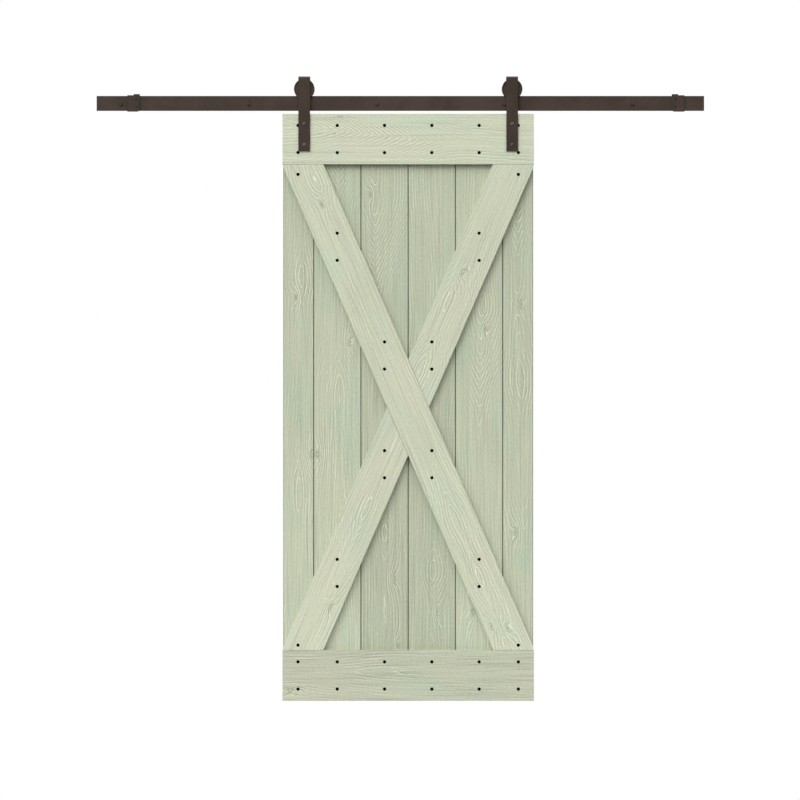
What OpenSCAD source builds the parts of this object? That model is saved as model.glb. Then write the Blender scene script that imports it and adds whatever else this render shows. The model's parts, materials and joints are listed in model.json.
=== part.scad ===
// Sliding barn door on a flat steel rail. Millimetres, +Z up, the wall is the plane y = 0
// and the room is on its -Y side. The origin is on the wall, behind the rail's middle bolt.

/* [Door] */
// Width of the door
door_w = 914; // [780:1:1100]
// Height of the door
door_h = 2134; // [1700:1:2600]
// Thickness of the planks at the back
plank_t = 19; // [16:0.5:24]
// Thickness of the rail boards and braces in front
frame_t = 19; // [15:0.5:24]
// Height of the top and bottom rail boards
rail_board_h = 184; // [150:1:240]
// Visible width of a full plank
plank_face = 172; // [140:1:190]
// How far the planks stop short of the rail boards' ends, each side
field_inset = 2; // [0:0.5:6]
// Gap left between neighbouring planks
plank_gap = 0.4; // [0.3:0.1:1]
// Small bevel along the planks' front edges
plank_bevel = 1.8; // [0.5:0.1:2]
// Length of a plank's tongue
tongue_l = 6; // [3:0.5:8]
// Thickness of a plank's tongue
tongue_t = 5.5; // [4:0.5:7]
// Clearance of a tongue in its groove, each side
tongue_clear = 0.4; // [0.3:0.1:0.6]
// Small bevel along the front edges of the rail boards and braces
board_bevel = 1.5; // [0.5:0.1:3]

/* [Braces] */
// Width of the diagonal braces
brace_w = 140; // [100:1:180]
// Short upright cut at each brace's toe, on the plank field's edge
brace_toe = 13; // [5:1:40]
// Gap where the short braces butt the long one
butt_gap = 0.5; // [0.3:0.1:2]
// Gap between the braces and the rail boards
seat_gap = 0.3; // [0.3:0.1:1]

/* [Screws] */
// Diameter of a screw's head
screw_head_d = 12; // [8:0.1:12]
// Diameter of a screw's shank
screw_d = 4.8; // [3.5:0.1:6]
// Length of a screw
screw_l = 33; // [30:0.5:34]
// Height of the head's straight rim
screw_rim = 0.6; // [0.3:0.1:1]
// How far the heads lie below the wood
screw_sink = 0.3; // [0.1:0.1:1]
// Clearance of a screw in its hole, each side
screw_clear = 0.15; // [0.1:0.05:0.3]
// Height of a screw above or below the middle of its pair
screw_rise = 49.4; // [35:0.1:55]
// How far the braces' pairs sit below the braces' middle line
brace_screw_drop = 9.5; // [0:0.5:20]
// Distance of the upper toe screws below the top rail board
upper_toe_screw = 36.7; // [25:0.1:60]
// Distance of the lower toe screws above the bottom rail board
lower_toe_screw = 18.2; // [15:0.1:60]

/* [Rail] */
// Length of the rail
rail_l = 2210; // [1900:1:2700]
// Height of the rail
rail_h = 54; // [40:0.5:64]
// Thickness of the rail
rail_t = 6; // [5:0.1:8]
// Distance of the first bolt from the rail's left end
bolt_first = 88; // [50:1:95]
// Distance from bolt to bolt
bolt_pitch = 465; // [380:1:500]
// Length of the wall spacers
spacer_l = 32; // [28:0.5:50]
// Outer diameter of the wall spacers
spacer_d = 22; // [18:0.5:24]
// Shank diameter of the wall bolts
lag_d = 8; // [6:0.5:10]
// Diameter over the wall bolts' thread
lag_thread_d = 7.6; // [5.6:0.1:9.6]
// Length of the wall bolts inside the wall
lag_depth = 58; // [40:1:90]
// Width across the flats of the wall bolts' heads
lag_head_w = 13; // [10:0.5:17]
// Height of the wall bolts' heads
lag_head_h = 5.3; // [4:0.1:6.5]
// Clearance of the wall bolts in the rail and the spacers, each side
lag_clear = 0.3; // [0.2:0.05:0.5]

/* [Stops] */
// Distance of the left stop's outer face from the rail's left end
left_stop_in = 112; // [105:1:160]
// Distance of the right stop's outer face from the rail's right end
right_stop_in = 72; // [10:1:160]
// Length of a stop's steel body along the rail
stop_l = 39; // [30:0.5:60]
// Thickness of a stop's wall, in front of and behind the rail
stop_wall = 4; // [3:0.1:6]
// Height of a stop's lip above and below the rail
stop_lip = 2.3; // [1.5:0.1:4]
// Height of a stop's nose above the rail
nose_h = 6.4; // [4:0.1:12]
// Length of the nose on the steel body
nose_l = 16; // [8:0.5:28]
// Thickness of the rubber bumper
bumper_t = 6; // [4:0.5:12]
// Clearance of a stop around the rail
stop_clear = 0.3; // [0.3:0.05:0.6]
// Diameter of the set screws
set_screw_d = 5; // [4:0.5:6]
// Height of the set screws above and below the rail's middle
set_screw_rise = 14; // [8:0.5:18]
// Distance of the set screws from the body's inner end
set_screw_in = 7; // [5:0.5:12]

/* [Hangers] */
// Distance from hanger to hanger
hanger_pitch = 756; // [500:1:820]
// How far the door's middle is right of the rail's middle
door_shift = 28.5; // [-80:0.5:80]
// Gap between the rail and the top of the door
door_gap = 11.5; // [10:0.5:30]
// Width of a hanger's strap
strap_w = 42.5; // [35:0.5:50]
// Thickness of a hanger's strap
strap_t = 5; // [4:0.5:6]
// Inner radius of the strap's bends
strap_bend = 4; // [2:0.5:6]
// Height of the strap's top above the axle
strap_top = 45.5; // [44:0.5:60]
// Length of the strap's rear leg below the axle
rear_leg = 20; // [14:0.5:22]
// Length of the strap on the door's face
strap_on_door = 136; // [110:1:170]
// Distance of the upper strap bolt below the door's top
strap_bolt_drop = 37.7; // [20:0.1:60]
// Distance between a strap's two bolts
strap_bolt_pitch = 75.5; // [50:0.1:80]
// Diameter of the strap bolts
strap_bolt_d = 8; // [6:0.5:10]
// Diameter of the strap bolts' domed heads
strap_head_d = 13; // [12:0.5:18]
// Height of the strap bolts' domed heads
strap_head_h = 4; // [3:0.1:5]
// Clearance of the strap bolts in their holes, each side
strap_clear = 0.25; // [0.15:0.05:0.5]
// Outer diameter of the washers at the door's back
back_washer_d = 17; // [15:0.5:24]
// Thickness of the washers at the door's back
back_washer_t = 1.6; // [1:0.1:2]
// Width across the flats of the strap bolts' nuts
back_nut_w = 13; // [12:0.5:17]
// Height of the strap bolts' nuts
back_nut_h = 4; // [3:0.1:5]

/* [Wheels] */
// Outer diameter of a wheel's flanges
wheel_d = 75; // [68:0.5:80]
// Height of the axle above the rail, which is the rolling radius
roll_r = 25; // [23:0.5:27]
// Running gap between the tread and the rail
tread_gap = 0.3; // [0.3:0.05:0.5]
// Width of a wheel
wheel_w = 22; // [18:0.1:27]
// Clearance of the rail in the wheel's groove, each side
groove_clear = 1; // [0.5:0.1:1.5]
// Gap between a wheel and its strap, each side
wheel_gap = 1.5; // [1:0.1:3]
// Depth of the dish in a wheel's faces
dish_depth = 2; // [1:0.1:3]
// Outer diameter of the bearing
bearing_d = 30; // [28:0.5:32]
// Width of the bearing
bearing_w = 9; // [8:0.5:10]
// Diameter of the bearing's balls
ball_d = 4.8; // [4.2:0.1:5]
// Number of balls in the bearing
ball_count = 8; // [6:1:9]
// Thickness of the bearing's seals
seal_t = 0.8; // [0.5:0.1:1]
// Diameter of the axle
axle_d = 10; // [8:0.5:11]
// Diameter of the axle bolt's flush head
axle_head_d = 19; // [17:0.5:22]
// Clearance of the axle in what it holds, each side
axle_clear = 0.05; // [0.02:0.01:0.1]
// Outer diameter of the sleeves beside the bearing
sleeve_d = 15; // [14:0.5:17]
// Width across the flats of the axle nut
axle_nut_w = 16; // [15:0.5:19]
// Height of the axle nut
axle_nut_h = 6; // [5:0.5:8]

/* [Hidden] */
$fn = 64;
plank_count = 6;
bolt_count = 5;
home_bolt = 2;
hole_over = 1;
bolt_tail = 1;
tip_l = 7;
screw_tip_l = 6;
inner_ring_wall = 2.6;
outer_ring_wall = 2.6;
race_clear = 0.05;
seal_clear = 0.3;
ring_seat = 0.02;
socket_depth = 2.2;
SIDES = ["left", "right"];

// Along the wall's normal
rail_back_y = -spacer_l;
rail_front_y = rail_back_y - rail_t;
rail_mid_y = rail_back_y - rail_t / 2;
strap_gap = wheel_w + 2 * wheel_gap;
rear_leg_y = rail_mid_y + strap_gap / 2;
door_front_y = rail_mid_y - strap_gap / 2;
strap_face_y = door_front_y - strap_t;
plank_front_y = door_front_y + frame_t;
door_back_y = plank_front_y + plank_t;

// Heights
axle_z = rail_h / 2 + roll_r;
strap_top_z = axle_z + strap_top;
door_top = -rail_h / 2 - door_gap;
door_bottom = door_top - door_h;
field_top = door_top - rail_board_h;
field_bottom = door_bottom + rail_board_h;
field_mid = (field_top + field_bottom) / 2;
strap_bottom_z = door_top - strap_on_door;
strap_bolt_z = [door_top - strap_bolt_drop, door_top - strap_bolt_drop - strap_bolt_pitch];

// Along the rail
rail_left = -bolt_first - home_bolt * bolt_pitch;
rail_right = rail_left + rail_l;
door_x = (rail_left + rail_right) / 2 + door_shift;
field_w = door_w - 2 * field_inset;
field_h = field_top - field_bottom;

// The long brace's outer edge runs from toe to toe through the field's corners
toe_rise = field_h / 2 - brace_toe;
toe_reach = sqrt(pow(field_w / 2, 2) + pow(toe_rise, 2));
brace_lean = acos(brace_w / 2 / toe_reach) - atan2(toe_rise, field_w / 2);
brace_run = field_h / cos(brace_lean) + 2 * brace_w;

// Bearing
race_r = bearing_d / 2 - outer_ring_wall;
inner_ring_r = axle_d / 2 + inner_ring_wall;
ball_ring_r = (race_r + inner_ring_r) / 2;
sleeve_l = (strap_gap - bearing_w) / 2;

wood = [0.76, 0.78, 0.69];
wood_front = [0.80, 0.81, 0.72];
bronze = [0.28, 0.24, 0.21];
black = [0.05, 0.05, 0.05];
rubber = [0.10, 0.09, 0.08];
bright = [0.62, 0.62, 0.62];

// Places

function bolt_x(i) = (i - home_bolt) * bolt_pitch;
function side(name) = name == "left" ? -1 : 1;
function hanger_x(name) = door_x + side(name) * hanger_pitch / 2;
function stop_outer_x(name) = name == "left" ? rail_left + left_stop_in : rail_right - right_stop_in;

// Joint between plank i and plank i + 1, and the middle of plank i, both from the door's middle
function joint_x(i) =
    i == 0 ? -door_w / 2 :
    i == plank_count ? door_w / 2 :
    (i - plank_count / 2) * plank_face;
function plank_mid(i) = (joint_x(i - 1) + joint_x(i)) / 2;

// Screws as [x from the door's middle, z]
function rail_screws(z) =
    [for (i = [1:plank_count], s = [-1, 1]) [plank_mid(i), z + s * screw_rise]];
function brace_screws(planks, lean) =
    [for (i = planks, s = [-1, 1])
        [plank_mid(i), field_mid + lean * plank_mid(i) / tan(brace_lean) - brace_screw_drop + s * screw_rise]];
top_screws = rail_screws(door_top - rail_board_h / 2);
bottom_screws = rail_screws(door_bottom + rail_board_h / 2);
long_screws = concat(
    [[plank_mid(1), field_top - upper_toe_screw]],
    brace_screws([2:plank_count - 1], -1),
    [[plank_mid(plank_count), field_bottom + lower_toe_screw]]
);
upper_screws = concat(
    brace_screws([plank_count / 2 + 1:plank_count - 1], 1),
    [[plank_mid(plank_count), field_top - upper_toe_screw]]
);
lower_screws = concat(
    [[plank_mid(1), field_bottom + lower_toe_screw]],
    brace_screws([2:plank_count / 2], 1)
);
all_screws = concat(top_screws, bottom_screws, long_screws, upper_screws, lower_screws);

// Shared shapes

// Turns what is drawn along +Z to run along +Y, from y
module along_y(x, y, z) {
    translate([x, y, z]) rotate([-90, 0, 0]) children();
}

module tube(outer_d, inner_d, l) {
    difference() {
        cylinder(d = outer_d, h = l);
        translate([0, 0, -hole_over]) cylinder(d = inner_d, h = l + 2 * hole_over);
    }
}

module hex(w, h) {
    cylinder(d = w / cos(30), h = h, $fn = 6);
}

module nut(w, h, hole_d) {
    difference() {
        hex(w, h);
        translate([0, 0, -hole_over]) cylinder(d = hole_d, h = h + 2 * hole_over);
    }
}

// A board's cross-section with its two front edges bevelled, front at y = 0
module board_section(w, t) {
    polygon([
        [-w / 2, t], [-w / 2, board_bevel], [-w / 2 + board_bevel, 0],
        [w / 2 - board_bevel, 0], [w / 2, board_bevel], [w / 2, t]
    ]);
}

// Rail

module rail() {
    color(bronze) difference() {
        translate([rail_left, rail_front_y, -rail_h / 2]) cube([rail_l, rail_t, rail_h]);
        for (i = [0:bolt_count - 1])
            along_y(bolt_x(i), rail_front_y - hole_over, 0)
                cylinder(d = lag_d + 2 * lag_clear, h = rail_t + 2 * hole_over);
    }
}

module wall_spacer(i) {
    color(bronze) along_y(bolt_x(i), rail_back_y, 0) tube(spacer_d, lag_d + 2 * lag_clear, spacer_l);
}

// Hexagon heads on the rail, plain shanks to the wall and a smaller threaded length beyond it
module rail_wall_bolts() {
    shank_l = rail_t + spacer_l;
    color(bronze) for (i = [0:bolt_count - 1])
        along_y(bolt_x(i), rail_front_y, 0) {
            translate([0, 0, -lag_head_h]) hex(lag_head_w, lag_head_h);
            cylinder(d = lag_d, h = shank_l);
            translate([0, 0, shank_l]) cylinder(d = lag_thread_d, h = lag_depth - tip_l);
            translate([0, 0, shank_l + lag_depth - tip_l]) cylinder(d1 = lag_thread_d, d2 = 1, h = tip_l);
        }
}

// Stops

// The stops are drawn with their inner end towards +X and mirrored for the right side
module place_stop(name) {
    translate([stop_outer_x(name), 0, 0])
        if (name == "left") children();
        else mirror([1, 0, 0]) children();
}

stop_front_y = rail_front_y - stop_clear - stop_wall;
stop_back_y = rail_back_y + stop_clear + stop_wall;
stop_depth = stop_back_y - stop_front_y;

module rail_slot(x, l, below) {
    translate([x, rail_front_y - stop_clear, -rail_h / 2 - below])
        cube([l, rail_t + 2 * stop_clear, rail_h + below + stop_clear]);
}

module stop_body(name) {
    color(bronze) place_stop(name) difference() {
        union() {
            translate([0, stop_front_y, -rail_h / 2 - stop_lip])
                cube([stop_l, stop_depth, rail_h + 2 * stop_lip]);
            translate([stop_l - nose_l, stop_front_y, 0]) cube([nose_l, stop_depth, rail_h / 2 + nose_h]);
        }
        rail_slot(-hole_over, stop_l + 2 * hole_over, stop_clear);
        translate([-hole_over, rail_back_y, -set_screw_rise])
            cube([stop_l + 2 * hole_over, spacer_l, 2 * set_screw_rise]);
        for (s = [-1, 1])
            along_y(stop_l - set_screw_in, stop_front_y - hole_over, s * set_screw_rise)
                cylinder(d = set_screw_d + 0.2, h = stop_wall + 2 * hole_over);
    }
}

module stop_bumper(name) {
    color(rubber) place_stop(name) difference() {
        translate([stop_l, stop_front_y, -rail_h / 2])
            cube([bumper_t, stop_depth, rail_h + nose_h]);
        rail_slot(stop_l - hole_over, bumper_t + 2 * hole_over, hole_over);
    }
}

module stop_set_screws(name) {
    color(black) place_stop(name) for (s = [-1, 1])
        along_y(stop_l - set_screw_in, stop_front_y + screw_sink, s * set_screw_rise) difference() {
            cylinder(d = set_screw_d, h = stop_wall);
            translate([0, 0, -hole_over]) hex(set_screw_d / 2, socket_depth + hole_over);
        }
}

// Door

// One wood screw along +Z with its head's face at z = 0
module wood_screw() {
    cone_l = (screw_head_d - screw_d) / 2;
    difference() {
        rotate_extrude() polygon([
            [0, 0], [screw_head_d / 2, 0], [screw_head_d / 2, screw_rim],
            [screw_d / 2, screw_rim + cone_l], [screw_d / 2, screw_l - screw_tip_l],
            [0, screw_l]
        ]);
        for (a = [0, 90])
            rotate([0, 0, a]) translate([-screw_head_d / 4, -screw_rim, -hole_over])
                cube([screw_head_d / 2, 2 * screw_rim, socket_depth + hole_over]);
    }
}

// The countersunk hole of a wood screw along +Z, from the wood's face
module screw_hole() {
    head_r = screw_head_d / 2 + screw_clear;
    shank_r = screw_d / 2 + screw_clear;
    rim_z = screw_sink + screw_rim + screw_clear;
    rotate_extrude() polygon([
        [0, -hole_over], [head_r, -hole_over], [head_r, rim_z],
        [shank_r, rim_z + head_r - shank_r], [shank_r, screw_l + hole_over], [0, screw_l + hole_over]
    ]);
}

module screws(places) {
    color(black) for (p = places)
        along_y(door_x + p[0], door_front_y + screw_sink, p[1]) wood_screw();
}

module screw_holes(places) {
    for (p = places) along_y(door_x + p[0], door_front_y, p[1]) screw_hole();
}

module strap_bolt_holes() {
    for (name = SIDES, z = strap_bolt_z)
        along_y(hanger_x(name), strap_face_y - hole_over, z)
            cylinder(d = strap_bolt_d + 2 * strap_clear, h = door_back_y - strap_face_y + 2 * hole_over);
}

// Cross-section of plank i from above: a groove on its left edge and a tongue on its right edge,
// left out on the door's two outer edges
module plank_section(i) {
    first = i == 1;
    last = i == plank_count;
    x0 = first ? -field_w / 2 : joint_x(i - 1) + plank_gap / 2;
    x1 = last ? field_w / 2 : joint_x(i) - plank_gap / 2;
    mid = (plank_front_y + door_back_y) / 2;
    groove = tongue_t / 2 + tongue_clear;
    groove_x = x0 + tongue_l + tongue_clear - plank_gap;
    tongue = tongue_t / 2;
    left = first ? [] : [[x0, mid + groove], [groove_x, mid + groove], [groove_x, mid - groove], [x0, mid - groove]];
    right = last ? [] : [
        [x1, mid - tongue], [x1 + tongue_l, mid - tongue],
        [x1 + tongue_l, mid + tongue], [x1, mid + tongue]
    ];
    polygon(concat(
        [[x0, door_back_y]], left,
        [[x0, plank_front_y + plank_bevel], [x0 + plank_bevel, plank_front_y]],
        [[x1 - plank_bevel, plank_front_y], [x1, plank_front_y + plank_bevel]],
        right, [[x1, door_back_y]]
    ));
}

module plank(i) {
    own_screws = [for (p = all_screws) if (p[0] > joint_x(i - 1) && p[0] < joint_x(i)) p];
    color(wood) difference() {
        translate([door_x, 0, door_bottom]) linear_extrude(height = door_h) plank_section(i);
        screw_holes(own_screws);
        if (i == 1 || i == 2 || i > plank_count - 2) strap_bolt_holes();
    }
}

// A board that lies across the door, its middle at height z
module rail_board(z) {
    translate([door_x - door_w / 2, door_front_y, z])
        rotate([90, 0, 90]) linear_extrude(height = door_w) rotate([0, 0, 90]) mirror([0, 1]) board_section(rail_board_h, frame_t);
}

module top_rail_board() {
    color(wood_front) difference() {
        rail_board(door_top - rail_board_h / 2);
        screw_holes(top_screws);
        strap_bolt_holes();
    }
}

module bottom_rail_board() {
    color(wood_front) difference() {
        rail_board(door_bottom + rail_board_h / 2);
        screw_holes(bottom_screws);
    }
}

// A board as long as the diagonal, leaning by lean times the braces' angle
module leaning_board(lean, w, t) {
    translate([door_x, door_front_y, field_mid])
        rotate([0, lean * brace_lean, 0]) translate([0, 0, -brace_run / 2])
            linear_extrude(height = brace_run) board_section(w, t);
}

// The part of the field between two heights that braces may fill
module field_window(low, high) {
    translate([door_x - field_w / 2, door_front_y - hole_over, low])
        cube([field_w, frame_t + 2 * hole_over, high - low]);
}

module long_brace() {
    color(wood_front) difference() {
        intersection() {
            leaning_board(-1, brace_w, frame_t);
            field_window(field_bottom + seat_gap, field_top - seat_gap);
        }
        screw_holes(long_screws);
    }
}

// Half of the other diagonal, cut to the long brace's edge
module short_brace(low, high, places) {
    color(wood_front) difference() {
        intersection() {
            leaning_board(1, brace_w, frame_t);
            field_window(low, high);
        }
        translate([door_x, door_front_y - hole_over, field_mid]) rotate([0, -brace_lean, 0])
            translate([-brace_w / 2 - butt_gap, 0, -brace_run / 2])
                cube([brace_w + 2 * butt_gap, frame_t + 2 * hole_over, brace_run]);
        screw_holes(places);
    }
}

// Hangers

// The strap from the side, as [y, z]: a rear leg, the turn over the wheel and the long front leg
module strap_section() {
    outer_r = strap_bend + strap_t;
    depth = strap_gap + 2 * strap_t;
    rear_z = axle_z - rear_leg;
    module arch(y, w, top, r, bottom) {
        translate([y, bottom]) square([w, top - r - bottom]);
        translate([y + r, bottom]) square([w - 2 * r, top - bottom]);
        for (c = [y + r, y + w - r]) translate([c, top - r]) circle(r = r);
    }
    difference() {
        arch(strap_face_y, depth, strap_top_z, outer_r, strap_bottom_z);
        arch(strap_face_y + strap_t, strap_gap, strap_top_z - strap_t, strap_bend, strap_bottom_z - hole_over);
        translate([strap_face_y + strap_t, strap_bottom_z - hole_over])
            square([depth, rear_z - strap_bottom_z + hole_over]);
    }
}

module hanger_strap(name) {
    x = hanger_x(name);
    sink = (axle_head_d - axle_d) / 2;
    color(bronze) difference() {
        translate([x - strap_w / 2, 0, 0]) rotate([90, 0, 90]) linear_extrude(height = strap_w) strap_section();
        along_y(x, strap_face_y - hole_over, axle_z)
            cylinder(d = axle_d + 2 * axle_clear, h = strap_gap + 2 * strap_t + 2 * hole_over);
        along_y(x, strap_face_y - hole_over, axle_z)
            cylinder(d1 = axle_head_d + 2 * hole_over + 2 * axle_clear, d2 = axle_d + 2 * axle_clear, h = sink + hole_over);
        for (z = strap_bolt_z)
            along_y(x, strap_face_y - hole_over, z)
                cylinder(d = strap_bolt_d + 2 * strap_clear, h = strap_t + 2 * hole_over);
    }
}

// Domed heads in front of the strap and shanks through the door
module hanger_bolts(name) {
    dome_r = (pow(strap_head_d / 2, 2) + pow(strap_head_h, 2)) / (2 * strap_head_h);
    shank_l = door_back_y - strap_face_y + back_washer_t + back_nut_h + bolt_tail;
    color(bronze) for (z = strap_bolt_z)
        along_y(hanger_x(name), strap_face_y, z) difference() {
            union() {
                intersection() {
                    translate([0, 0, dome_r - strap_head_h]) sphere(r = dome_r);
                    translate([0, 0, -strap_head_h]) cylinder(d = strap_head_d + 2, h = strap_head_h);
                }
                cylinder(d = strap_bolt_d, h = shank_l);
            }
            translate([0, 0, -strap_head_h - hole_over]) hex(strap_bolt_d / 2, socket_depth + hole_over);
        }
}

module back_washers(name) {
    color(bright) for (z = strap_bolt_z)
        along_y(hanger_x(name), door_back_y, z)
            tube(back_washer_d, strap_bolt_d + 2 * strap_clear, back_washer_t);
}

module back_nuts(name) {
    color(bright) for (z = strap_bolt_z)
        along_y(hanger_x(name), door_back_y + back_washer_t, z)
            nut(back_nut_w, back_nut_h, strap_bolt_d + 2 * axle_clear);
}

// A bolt with a flush, countersunk head, from the strap's face to past its nut
module axle_bolt(name) {
    head_l = (axle_head_d - axle_d) / 2;
    axle_l = strap_gap + 2 * strap_t + axle_nut_h + bolt_tail;
    color(bronze) along_y(hanger_x(name), strap_face_y, axle_z) difference() {
        rotate_extrude() polygon([
            [0, 0], [axle_head_d / 2, 0], [axle_d / 2, head_l], [axle_d / 2, axle_l], [0, axle_l]
        ]);
        translate([0, 0, -hole_over]) hex(axle_d / 2, socket_depth + hole_over);
    }
}

module axle_nut(name) {
    color(bronze) along_y(hanger_x(name), rear_leg_y + strap_t, axle_z)
        nut(axle_nut_w, axle_nut_h, axle_d + 2 * axle_clear);
}

module axle_sleeves(name) {
    color(bright) for (y = [door_front_y, rail_mid_y + bearing_w / 2])
        along_y(hanger_x(name), y, axle_z) tube(sleeve_d, axle_d + 2 * axle_clear, sleeve_l);
}

// Wheels

// The ring of space that the balls roll in
module ball_race() {
    rotate_extrude() translate([ball_ring_r, 0]) circle(d = ball_d + 2 * race_clear, $fn = 48);
}

module bearing_ring(outer_d, inner_d) {
    difference() {
        translate([0, 0, -bearing_w / 2]) tube(outer_d, inner_d, bearing_w);
        ball_race();
    }
}

module inner_ring(name) {
    color(bright) along_y(hanger_x(name), rail_mid_y, axle_z)
        bearing_ring(2 * inner_ring_r, axle_d + 2 * axle_clear);
}

module outer_ring(name) {
    color(bright) along_y(hanger_x(name), rail_mid_y, axle_z) bearing_ring(bearing_d, 2 * race_r);
}

module bearing_balls(name) {
    color(bright) along_y(hanger_x(name), rail_mid_y, axle_z)
        for (i = [0:ball_count - 1])
            rotate([0, 0, i * 360 / ball_count]) translate([ball_ring_r, 0, 0]) sphere(d = ball_d, $fn = 48);
}

module bearing_seals(name) {
    color(black) along_y(hanger_x(name), rail_mid_y, axle_z)
        for (z = [-bearing_w / 2, bearing_w / 2 - seal_t])
            translate([0, 0, z])
                tube(2 * race_r - ring_seat, 2 * (inner_ring_r + seal_clear), seal_t);
}

// Two flanges with the groove between them, dished faces and a stepped seat for the bearing
module wheel(name) {
    tread_r = roll_r - tread_gap;
    flange_r = wheel_d / 2;
    groove_w = rail_t + 2 * groove_clear;
    half = wheel_w / 2;
    rim = 4;
    hub_r = bearing_d / 2 + 3;
    seat_r = bearing_d / 2 + ring_seat;
    lip_r = bearing_d / 2 - 1.5;
    edge = 1;
    color(bronze) along_y(hanger_x(name), rail_mid_y, axle_z) rotate_extrude() polygon([
        [lip_r, bearing_w / 2], [seat_r, bearing_w / 2], [seat_r, -half],
        [hub_r, -half], [hub_r + dish_depth, -half + dish_depth],
        [flange_r - rim - dish_depth, -half + dish_depth], [flange_r - rim, -half],
        [flange_r - edge, -half], [flange_r, -half + edge],
        [flange_r, -groove_w / 2 - edge], [flange_r - edge, -groove_w / 2],
        [tread_r, -groove_w / 2], [tread_r, groove_w / 2],
        [flange_r - edge, groove_w / 2], [flange_r, groove_w / 2 + edge],
        [flange_r, half - edge], [flange_r - edge, half],
        [flange_r - rim, half], [flange_r - rim - dish_depth, half - dish_depth],
        [hub_r + dish_depth, half - dish_depth], [hub_r, half], [lip_r, half]
    ]);
}

rail();
rail_wall_bolts();
for (i = [1:bolt_count]) wall_spacer(i - 1);
for (s = SIDES) {
    stop_body(s);
    stop_bumper(s);
    stop_set_screws(s);
}
for (i = [1:plank_count]) plank(i);
top_rail_board();
bottom_rail_board();
long_brace();
short_brace(field_mid, field_top - seat_gap, upper_screws);  // upper_brace
short_brace(field_bottom + seat_gap, field_mid, lower_screws);  // lower_brace
screws(top_screws);  // top_rail_screws
screws(bottom_screws);  // bottom_rail_screws
screws(long_screws);  // long_brace_screws
screws(upper_screws);  // upper_brace_screws
screws(lower_screws);  // lower_brace_screws
for (s = SIDES) {
    hanger_strap(s);
    hanger_bolts(s);
    back_washers(s);
    back_nuts(s);
    axle_bolt(s);
    axle_nut(s);
    axle_sleeves(s);
    inner_ring(s);
    wheel(s);
    outer_ring(s);
    bearing_balls(s);
    bearing_seals(s);
}
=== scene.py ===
import json
from math import acos, atan2, cos, pi, radians, sin, sqrt

import bmesh
import bpy
from mathutils import Matrix, Vector

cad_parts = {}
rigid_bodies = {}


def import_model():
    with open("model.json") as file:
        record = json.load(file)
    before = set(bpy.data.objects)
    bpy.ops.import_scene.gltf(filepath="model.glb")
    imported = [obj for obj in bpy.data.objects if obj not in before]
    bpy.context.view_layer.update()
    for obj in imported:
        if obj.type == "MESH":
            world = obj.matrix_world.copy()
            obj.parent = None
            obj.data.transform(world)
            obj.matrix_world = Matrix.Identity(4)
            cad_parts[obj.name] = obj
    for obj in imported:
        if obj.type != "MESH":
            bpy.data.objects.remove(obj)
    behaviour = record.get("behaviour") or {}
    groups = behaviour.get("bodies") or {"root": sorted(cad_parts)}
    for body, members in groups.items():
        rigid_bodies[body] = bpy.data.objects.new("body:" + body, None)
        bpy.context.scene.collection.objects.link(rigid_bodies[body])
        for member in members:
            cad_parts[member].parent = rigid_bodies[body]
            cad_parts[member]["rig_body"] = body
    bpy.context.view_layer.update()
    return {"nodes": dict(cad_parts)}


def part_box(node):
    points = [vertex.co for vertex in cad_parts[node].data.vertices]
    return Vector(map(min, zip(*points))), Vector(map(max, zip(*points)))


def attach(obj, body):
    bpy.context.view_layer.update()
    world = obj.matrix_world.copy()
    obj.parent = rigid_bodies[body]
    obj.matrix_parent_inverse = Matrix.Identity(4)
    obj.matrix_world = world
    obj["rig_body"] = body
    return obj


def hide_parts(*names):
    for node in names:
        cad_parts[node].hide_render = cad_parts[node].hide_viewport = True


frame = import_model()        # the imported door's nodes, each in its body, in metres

mm = 0.001
hair = 0.01 * mm         # near enough to be in the same place
weld = 0.001 * mm        # points this near become one
print("frame loaded:", len(frame["nodes"]), "nodes")


# Small tools for working by hand

def takeOnly(piece):
    bpy.ops.object.select_all(action="DESELECT")
    piece.select_set(True)
    bpy.context.view_layer.objects.active = piece


def settle(piece, name):                 # the place goes into the mesh, the object to the origin
    piece.name = name
    piece.data.name = name
    takeOnly(piece)
    bpy.ops.object.transform_apply(location=True, rotation=True, scale=True)
    return piece


def addBox(name, low, high, turnY=0):
    middle = (Vector(low) + Vector(high)) / 2
    bpy.ops.object.select_all(action="DESELECT")
    bpy.ops.mesh.primitive_cube_add(
        size=1, location=middle, rotation=(0, turnY, 0), scale=Vector(high) - Vector(low)
    )
    return settle(bpy.context.object, name)


def addSheet(name, middle, width, depth, turnX=0):
    bpy.ops.object.select_all(action="DESELECT")
    bpy.ops.mesh.primitive_plane_add(size=1, location=middle, rotation=(turnX, 0, 0))
    bpy.context.object.scale = (width, depth, 1)
    return settle(bpy.context.object, name)


def middleOf(item):
    points = [item.co] if isinstance(item, bmesh.types.BMVert) else [v.co for v in item.verts]
    return sum(points, Vector()) / len(points)


def pick(piece, kind, wanted):           # selects the faces, edges or verts that pass the test
    bpy.ops.mesh.select_mode(type=kind)
    bpy.ops.mesh.select_all(action="DESELECT")
    mesh = bmesh.from_edit_mesh(piece.data)
    group = {"FACE": mesh.faces, "EDGE": mesh.edges, "VERT": mesh.verts}[kind]
    for item in group:
        if wanted(item):
            item.select_set(True)
    mesh.select_flush_mode()
    bmesh.update_edit_mesh(piece.data)


def startEdit(piece):
    takeOnly(piece)
    bpy.ops.object.mode_set(mode="EDIT")
    bpy.ops.mesh.select_mode(type="VERT")
    bpy.ops.mesh.select_all(action="SELECT")


def stopEdit(merge=weld):
    bpy.ops.mesh.select_mode(type="VERT")
    bpy.ops.mesh.select_all(action="SELECT")
    if merge:
        bpy.ops.mesh.remove_doubles(threshold=merge)
    bpy.ops.mesh.normals_make_consistent(inside=False)
    bpy.ops.object.mode_set(mode="OBJECT")


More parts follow.
